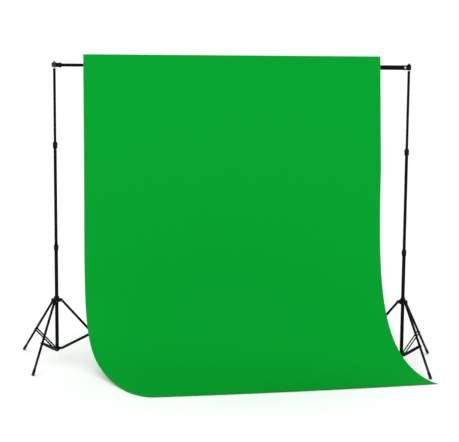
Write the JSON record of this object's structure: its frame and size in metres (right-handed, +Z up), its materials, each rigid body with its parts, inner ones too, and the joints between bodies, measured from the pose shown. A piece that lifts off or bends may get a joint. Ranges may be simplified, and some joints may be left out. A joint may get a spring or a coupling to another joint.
{
  "type": "background support system",
  "caption": "Free-standing background support: folding tripod stands with telescopic columns carry a telescopic crossbar and a green muslin sheet that sweeps onto the floor.",
  "frame": {"origin": "on the floor, under the middle of the whole object's box", "axes": "+X along the crossbar from the left stand to the right stand, +Y from the front of the sheet to its back, +Z up"},
  "size_m": [2.6191, 1.0284, 1.8935],
  "materials": {
    "tube_finish": "black satin anodised",
    "brace_paint": "black powder coat on steel strip",
    "moulded_plastic": "fine grained black moulding",
    "knob_plastic": "black moulding with a polished rim",
    "foot_rubber": "matt black rubber",
    "pin_steel": "dark zinc rivets",
    "bright_steel": "turned bright steel",
    "nut_brass": "yellow zinc",
    "lock_plastic": "natural nylon",
    "green_muslin": "chroma green woven cotton"
  },
  "bodies": {
    "left_base": {"left_base_tube": "tube_finish", "left_tube_plug": "moulded_plastic", "left_brace_hub": "moulded_plastic", "left_brace_pins": "pin_steel", "left_lower_collar": "moulded_plastic", "backdrop_lower": "green_muslin"},
    "left_mid": {"left_mid_tube": "tube_finish", "left_upper_collar": "moulded_plastic"},
    "left_top": {"left_top_tube": "tube_finish", "left_spigot": "bright_steel", "left_bar_end": "moulded_plastic", "bar_tube_1": "tube_finish", "bar_lock_1": "lock_plastic", "backdrop_upper": "green_muslin"},
    "bar_section_2": {"bar_tube_2": "tube_finish", "bar_lock_2": "lock_plastic"},
    "bar_section_3": {"bar_tube_3": "tube_finish", "bar_lock_3": "lock_plastic"},
    "right_top": {"right_top_tube": "tube_finish", "right_spigot": "bright_steel", "bar_tube_4": "tube_finish", "right_bar_end": "moulded_plastic", "right_bar_screw": "bright_steel"},
    "right_mid": {"right_mid_tube": "tube_finish", "right_upper_collar": "moulded_plastic"},
    "right_base": {"right_base_tube": "tube_finish", "right_tube_plug": "moulded_plastic", "right_brace_hub": "moulded_plastic", "right_brace_pins": "pin_steel", "right_lower_collar": "moulded_plastic"},
    "left_hub": {"left_leg_hub": "moulded_plastic", "left_leg_pins": "pin_steel"},
    "left_leg_1": {"left_leg_1": "tube_finish", "left_foot_1": "foot_rubber"},
    "left_brace_1": {"left_brace_1": "brace_paint"},
    "left_leg_2": {"left_leg_2": "tube_finish", "left_foot_2": "foot_rubber"},
    "left_brace_2": {"left_brace_2": "brace_paint"},
    "left_leg_3": {"left_leg_3": "tube_finish", "left_foot_3": "foot_rubber"},
    "left_brace_3": {"left_brace_3": "brace_paint"},
    "left_lower_knob": {"left_lower_knob": "knob_plastic"},
    "left_upper_knob": {"left_upper_knob": "knob_plastic"},
    "left_hub_knob": {"left_hub_knob": "knob_plastic"},
    "left_thumb_nut": {"left_thumb_nut": "nut_brass"},
    "right_hub": {"right_leg_hub": "moulded_plastic", "right_leg_pins": "pin_steel"},
    "right_leg_1": {"right_leg_1": "tube_finish", "right_foot_1": "foot_rubber"},
    "right_brace_1": {"right_brace_1": "brace_paint"},
    "right_leg_2": {"right_leg_2": "tube_finish", "right_foot_2": "foot_rubber"},
    "right_brace_2": {"right_brace_2": "brace_paint"},
    "right_leg_3": {"right_leg_3": "tube_finish", "right_foot_3": "foot_rubber"},
    "right_brace_3": {"right_brace_3": "brace_paint"},
    "right_lower_knob": {"right_lower_knob": "knob_plastic"},
    "right_upper_knob": {"right_upper_knob": "knob_plastic"},
    "right_hub_knob": {"right_hub_knob": "knob_plastic"},
    "right_thumb_nut": {"right_thumb_nut": "nut_brass"}
  },
  "joints": [
    {"name": "left_mid_slide", "type": "slide", "parent": "left_base", "child": "left_mid", "axis": [0, 0, 1], "range_m": [-0.52, 0], "deforming": ["backdrop_lower"]},
    {"name": "left_top_slide", "type": "slide", "parent": "left_mid", "child": "left_top", "axis": [0, 0, 1], "range_m": [-0.36, 0.1], "deforming": ["backdrop_upper"]},
    {"name": "bar_slide_1", "type": "slide", "parent": "left_top", "child": "bar_section_2", "axis": [1, 0, 0], "range_m": [0, 0.25]},
    {"name": "bar_slide_2", "type": "slide", "parent": "bar_section_2", "child": "bar_section_3", "axis": [1, 0, 0], "range_m": [0, 0.22]},
    {"name": "bar_slide_3", "type": "slide", "parent": "bar_section_3", "child": "right_top", "axis": [1, 0, 0], "range_m": [0, 0.22]},
    {"name": "right_top_slide", "type": "slide", "parent": "right_top", "child": "right_mid", "axis": [0, 0, -1], "range_m": [-0.36, 0.1]},
    {"name": "right_mid_slide", "type": "slide", "parent": "right_mid", "child": "right_base", "axis": [0, 0, -1], "range_m": [-0.52, 0]},
    {"name": "left_hub_slide", "type": "slide", "parent": "left_base", "child": "left_hub", "axis": [0, 0, 1], "range_m": [0, 0.19203]},
    {"name": "left_leg_1_hinge", "type": "hinge", "parent": "left_hub", "child": "left_leg_1", "pos_m": [-1.01824, 0.22952, 0.38361], "axis": [-0.284, 0.9588, 0], "range_deg": [0, 37.8]},
    {"name": "left_brace_1_hinge", "type": "hinge", "parent": "left_base", "child": "left_brace_1", "pos_m": [-1.01824, 0.22952, 0.0788], "axis": [0.284, -0.9588, 0], "range_deg": [0, 61.58]},
    {"name": "left_leg_2_hinge", "type": "hinge", "parent": "left_hub", "child": "left_leg_2", "pos_m": [-1.06876, 0.24165, 0.38361], "axis": [-0.6884, -0.7254, 0], "range_deg": [0, 37.8]},
    {"name": "left_brace_2_hinge", "type": "hinge", "parent": "left_base", "child": "left_brace_2", "pos_m": [-1.06876, 0.24165, 0.0788], "axis": [0.6884, 0.7254, 0], "range_deg": [0, 61.58]},
    {"name": "left_leg_3_hinge", "type": "hinge", "parent": "left_hub", "child": "left_leg_3", "pos_m": [-1.054, 0.19183, 0.38361], "axis": [0.9724, -0.2334, 0], "range_deg": [0, 37.8]},
    {"name": "left_brace_3_hinge", "type": "hinge", "parent": "left_base", "child": "left_brace_3", "pos_m": [-1.054, 0.19183, 0.0788], "axis": [-0.9724, 0.2334, 0], "range_deg": [0, 61.58]},
    {"name": "left_lower_knob_turn", "type": "hinge", "parent": "left_base", "child": "left_lower_knob", "pos_m": [-1.047, 0.221, 0.7183], "axis": [0.3907, -0.9205, 0], "range_deg": [-180, 0]},
    {"name": "left_upper_knob_turn", "type": "hinge", "parent": "left_mid", "child": "left_upper_knob", "pos_m": [-1.047, 0.221, 1.3483], "axis": [0.3907, -0.9205, 0], "range_deg": [-180, 0]},
    {"name": "left_hub_knob_turn", "type": "hinge", "parent": "left_hub", "child": "left_hub_knob", "pos_m": [-1.047, 0.221, 0.38361], "axis": [-0.9588, -0.284, 0], "range_deg": [-180, 0]},
    {"name": "left_thumb_nut_turn", "type": "hinge", "parent": "left_top", "child": "left_thumb_nut", "pos_m": [-1.047, 0.221, 1.828], "axis": [0, 0, 1], "range_deg": [0, 180]},
    {"name": "right_hub_slide", "type": "slide", "parent": "right_base", "child": "right_hub", "axis": [0, 0, 1], "range_m": [0, 0.1685]},
    {"name": "right_leg_1_hinge", "type": "hinge", "parent": "right_hub", "child": "right_leg_1", "pos_m": [1.05928, 0.22507, 0.39548], "axis": [-0.1357, -0.9907, 0], "range_deg": [0, 35.65]},
    {"name": "right_brace_1_hinge", "type": "hinge", "parent": "right_base", "child": "right_brace_1", "pos_m": [1.05928, 0.22507, 0.06714], "axis": [0.1357, 0.9907, 0], "range_deg": [0, 56.46]},
    {"name": "right_leg_2_hinge", "type": "hinge", "parent": "right_hub", "child": "right_leg_2", "pos_m": [1.10034, 0.19322, 0.39548], "axis": [0.9259, 0.3778, 0], "range_deg": [0, 35.65]},
    {"name": "right_brace_2_hinge", "type": "hinge", "parent": "right_base", "child": "right_brace_2", "pos_m": [1.10034, 0.19322, 0.06714], "axis": [-0.9259, -0.3778, 0], "range_deg": [0, 56.46]},
    {"name": "right_leg_3_hinge", "type": "hinge", "parent": "right_hub", "child": "right_leg_3", "pos_m": [1.10739, 0.24471, 0.39548], "axis": [-0.7902, 0.6129, 0], "range_deg": [0, 35.65]},
    {"name": "right_brace_3_hinge", "type": "hinge", "parent": "right_base", "child": "right_brace_3", "pos_m": [1.10739, 0.24471, 0.06714], "axis": [0.7902, -0.6129, 0], "range_deg": [0, 56.46]},
    {"name": "right_lower_knob_turn", "type": "hinge", "parent": "right_base", "child": "right_lower_knob", "pos_m": [1.089, 0.221, 0.70664], "axis": [-0.3907, -0.9205, 0], "range_deg": [-180, 0]},
    {"name": "right_upper_knob_turn", "type": "hinge", "parent": "right_mid", "child": "right_upper_knob", "pos_m": [1.089, 0.221, 1.32364], "axis": [-0.3907, -0.9205, 0], "range_deg": [-180, 0]},
    {"name": "right_hub_knob_turn", "type": "hinge", "parent": "right_hub", "child": "right_hub_knob", "pos_m": [1.089, 0.221, 0.39548], "axis": [-0.3778, 0.9259, 0], "range_deg": [-180, 0]},
    {"name": "right_thumb_nut_turn", "type": "hinge", "parent": "right_top", "child": "right_thumb_nut", "pos_m": [1.089, 0.221, 1.828], "axis": [0, 0, 1], "range_deg": [0, 180]}
  ],
  "couplings": [
    {"joint": "right_top_slide", "follows": "left_top_slide", "ratio": 1},
    {"joint": "right_mid_slide", "follows": "left_mid_slide", "ratio": 1},
    {"joint": "left_leg_1_hinge", "follows": "left_hub_slide", "rad_per_m": 3.4355},
    {"joint": "left_brace_1_hinge", "follows": "left_hub_slide", "rad_per_m": 5.5968},
    {"joint": "left_leg_2_hinge", "follows": "left_hub_slide", "rad_per_m": 3.4355},
    {"joint": "left_brace_2_hinge", "follows": "left_hub_slide", "rad_per_m": 5.5968},
    {"joint": "left_leg_3_hinge", "follows": "left_hub_slide", "rad_per_m": 3.4355},
    {"joint": "left_brace_3_hinge", "follows": "left_hub_slide", "rad_per_m": 5.5968},
    {"joint": "right_leg_1_hinge", "follows": "right_hub_slide", "rad_per_m": 3.6925},
    {"joint": "right_brace_1_hinge", "follows": "right_hub_slide", "rad_per_m": 5.8479},
    {"joint": "right_leg_2_hinge", "follows": "right_hub_slide", "rad_per_m": 3.6925},
    {"joint": "right_brace_2_hinge", "follows": "right_hub_slide", "rad_per_m": 5.8479},
    {"joint": "right_leg_3_hinge", "follows": "right_hub_slide", "rad_per_m": 3.6925},
    {"joint": "right_brace_3_hinge", "follows": "right_hub_slide", "rad_per_m": 5.8479}
  ]
}
